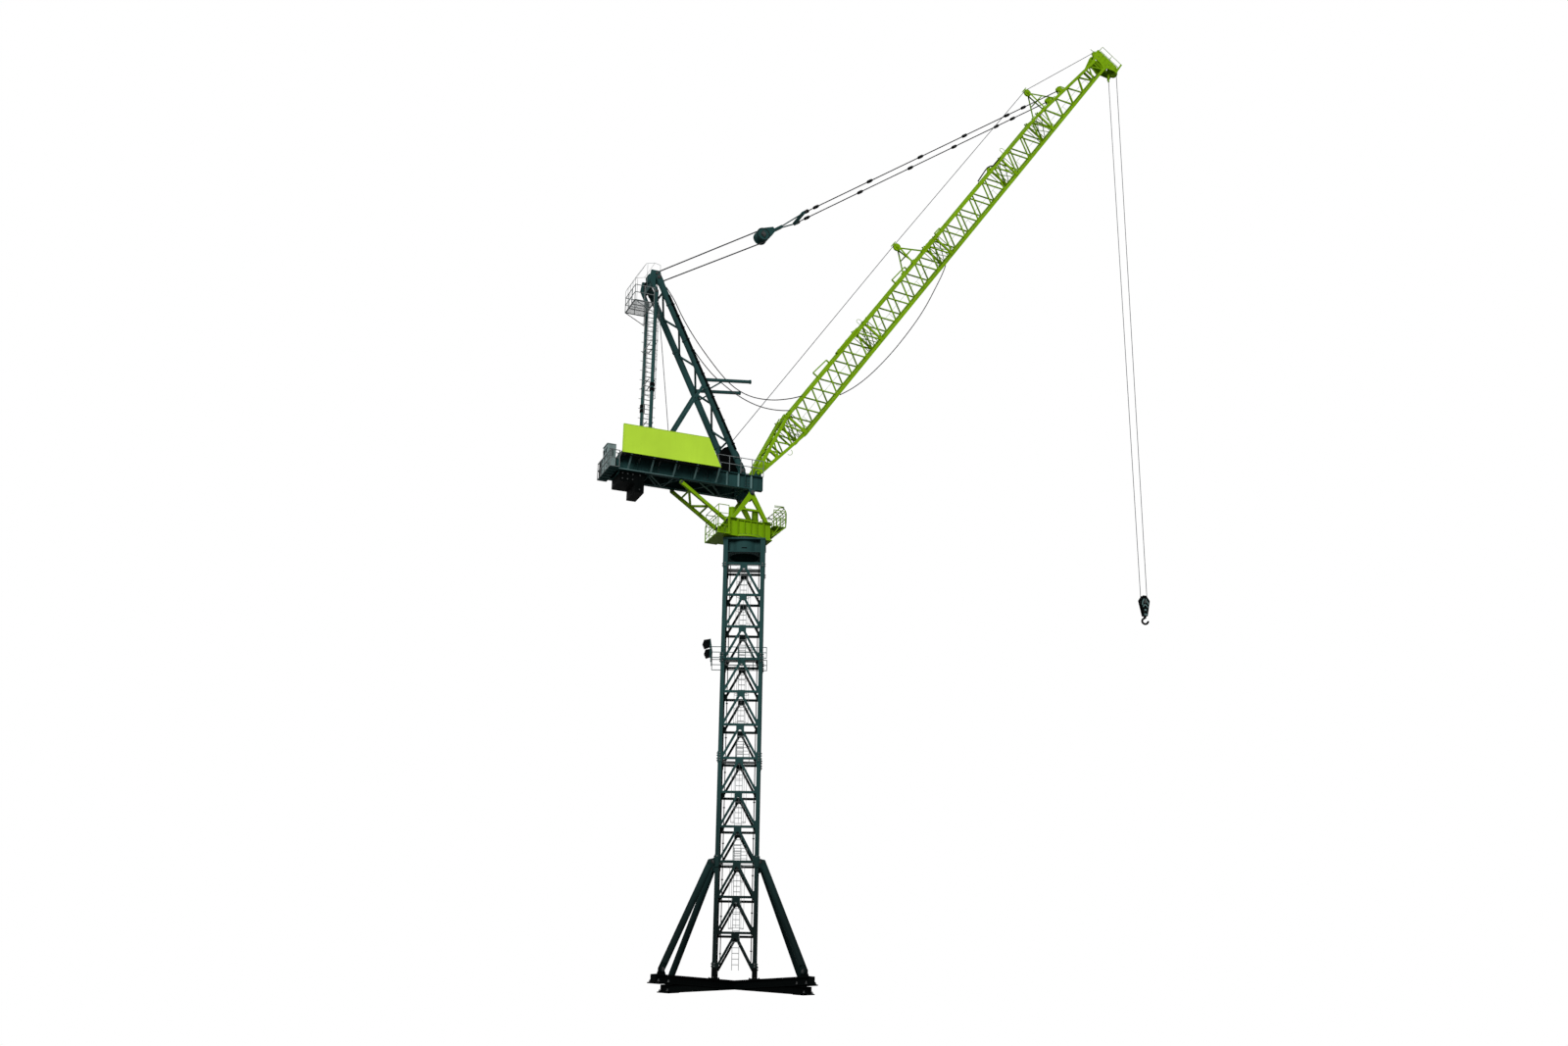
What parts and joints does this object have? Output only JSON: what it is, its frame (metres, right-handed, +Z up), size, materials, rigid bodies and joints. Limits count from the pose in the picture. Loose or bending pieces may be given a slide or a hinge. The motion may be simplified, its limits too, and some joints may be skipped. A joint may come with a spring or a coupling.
{
  "type": "luffing-jib tower crane, 1:2 scale model",
  "caption": "Luffing tower crane on a cross base: lattice mast, slewing deck with winches and counterweight, A-frame and stayed lattice jib that lifts a hook block on a rope.",
  "frame": {"origin": "centre of the cross base, on the ground face of its beams", "axes": "+Z up; X and Y square to the mast's sides; at rest the jib points 22 degrees left of +X"},
  "size_m": [17.4062, 7.8151, 33.4621],
  "materials": {
    "teal_steel": "semi-gloss paint",
    "lime_steel": "semi-gloss paint",
    "panel_lime": "gloss paint",
    "black_steel": "satin paint",
    "galvanised": "dull zinc",
    "cabinet_grey": "satin paint",
    "sheave_iron": "worn",
    "wire_rope": "greased wire",
    "cable_sheath": "matt"
  },
  "bodies": {
    "tower": {"cross_base": "black_steel", "base_struts": "teal_steel", "mast_section_1": "teal_steel", "mast_section_2": "teal_steel", "mast_section_3": "teal_steel", "mast_section_4": "teal_steel", "mast_ladders": "galvanised", "mast_landings": "galvanised", "lamp_gallery": "galvanised", "floodlights": "black_steel", "slew_support": "teal_steel", "slewing_ring": "galvanised"},
    "upperworks": {"slewing_platform": "lime_steel", "slewing_galleries": "lime_steel", "support_legs": "lime_steel", "raking_struts": "lime_steel", "deck_girder_right": "teal_steel", "deck_girder_left": "teal_steel", "deck_cross_beams": "teal_steel", "deck_gratings": "galvanised", "side_panel": "panel_lime", "deck_railings": "galvanised", "counterweights": "black_steel", "tail_platform": "galvanised", "tail_cabinets": "cabinet_grey", "hoist_winch": "black_steel", "luffing_winch": "black_steel", "frame_front_legs": "teal_steel", "frame_rear_legs": "teal_steel", "frame_stays": "teal_steel", "frame_bracing": "teal_steel", "frame_ladder": "galvanised", "frame_head": "teal_steel", "head_platform": "galvanised", "backstops": "teal_steel", "luffing_rope_falls": "wire_rope", "hoist_rope_lead": "wire_rope", "frame_cable": "cable_sheath", "loop_cable": "cable_sheath"},
    "hoist_drum": {"hoist_drum": "black_steel"},
    "jib": {"jib_heel": "lime_steel", "jib_section_1": "lime_steel", "jib_section_2": "lime_steel", "jib_section_3": "lime_steel", "jib_section_4": "lime_steel", "jib_tip": "lime_steel", "jib_head": "lime_steel", "guide_frames": "lime_steel", "pendants": "black_steel", "floating_block": "teal_steel", "jib_hoist_rope": "wire_rope", "jib_cable": "cable_sheath"},
    "guide_sheave_lower": {"guide_sheave_lower": "lime_steel"},
    "guide_sheave_upper": {"guide_sheave_upper": "lime_steel"},
    "crown_sheave": {"crown_sheave": "lime_steel"},
    "nose_sheave": {"nose_sheave": "lime_steel"},
    "falls": {"hook_falls": "wire_rope"},
    "hook_block": {"hook_block": "teal_steel"},
    "block_sheave": {"block_sheave": "sheave_iron"},
    "hook": {"hook": "sheave_iron"}
  },
  "joints": [
    {"name": "slew", "type": "hinge", "parent": "tower", "child": "upperworks", "pos_m": [0, 0, 12.68], "axis": [0, 0, 1], "continuous": true},
    {"name": "luff", "type": "hinge", "parent": "upperworks", "child": "jib", "pos_m": [0.18544, 0.07492, 14.7746], "axis": [0.3746, -0.9272, 0], "range_deg": [-34.6, 27.4], "deforming": ["luffing_rope_falls", "hoist_rope_lead", "frame_cable", "loop_cable"]},
    {"name": "hang", "type": "hinge", "parent": "jib", "child": "falls", "pos_m": [12.8639, 5.19735, 32.78259], "axis": [0.3746, -0.9272, 0], "range_deg": [-27.4, 34.6]},
    {"name": "hoist", "type": "slide", "parent": "falls", "child": "hook_block", "axis": [0, 0, -1], "range_m": [-18, 11.6], "deforming": ["hook_falls"]},
    {"name": "hook_swivel", "type": "hinge", "parent": "hook_block", "child": "hook", "pos_m": [12.8639, 5.19735, 12.63259], "axis": [0, 0, 1], "continuous": true},
    {"name": "drum_spin", "type": "hinge", "parent": "upperworks", "child": "hoist_drum", "pos_m": [-0.5934, -0.23975, 15.2096], "axis": [-0.3746, 0.9272, 0], "continuous": true},
    {"name": "guide_spin_lower", "type": "hinge", "parent": "jib", "child": "guide_sheave_lower", "pos_m": [4.70221, 1.89982, 23.64196], "axis": [-0.3746, 0.9272, 0], "continuous": true},
    {"name": "guide_spin_upper", "type": "hinge", "parent": "jib", "child": "guide_sheave_upper", "pos_m": [9.50926, 3.84199, 30.93735], "axis": [-0.3746, 0.9272, 0], "continuous": true},
    {"name": "crown_spin", "type": "hinge", "parent": "jib", "child": "crown_sheave", "pos_m": [12.22693, 4.94, 33.33215], "axis": [-0.3746, 0.9272, 0], "continuous": true},
    {"name": "nose_spin", "type": "hinge", "parent": "jib", "child": "nose_sheave", "pos_m": [12.8639, 5.19735, 32.78259], "axis": [-0.3746, 0.9272, 0], "continuous": true},
    {"name": "block_spin", "type": "hinge", "parent": "hook_block", "child": "block_sheave", "pos_m": [12.8639, 5.19735, 12.63259], "axis": [-0.3746, 0.9272, 0], "continuous": true}
  ],
  "couplings": [
    {"joint": "hang", "follows": "luff", "ratio": -1}
  ]
}
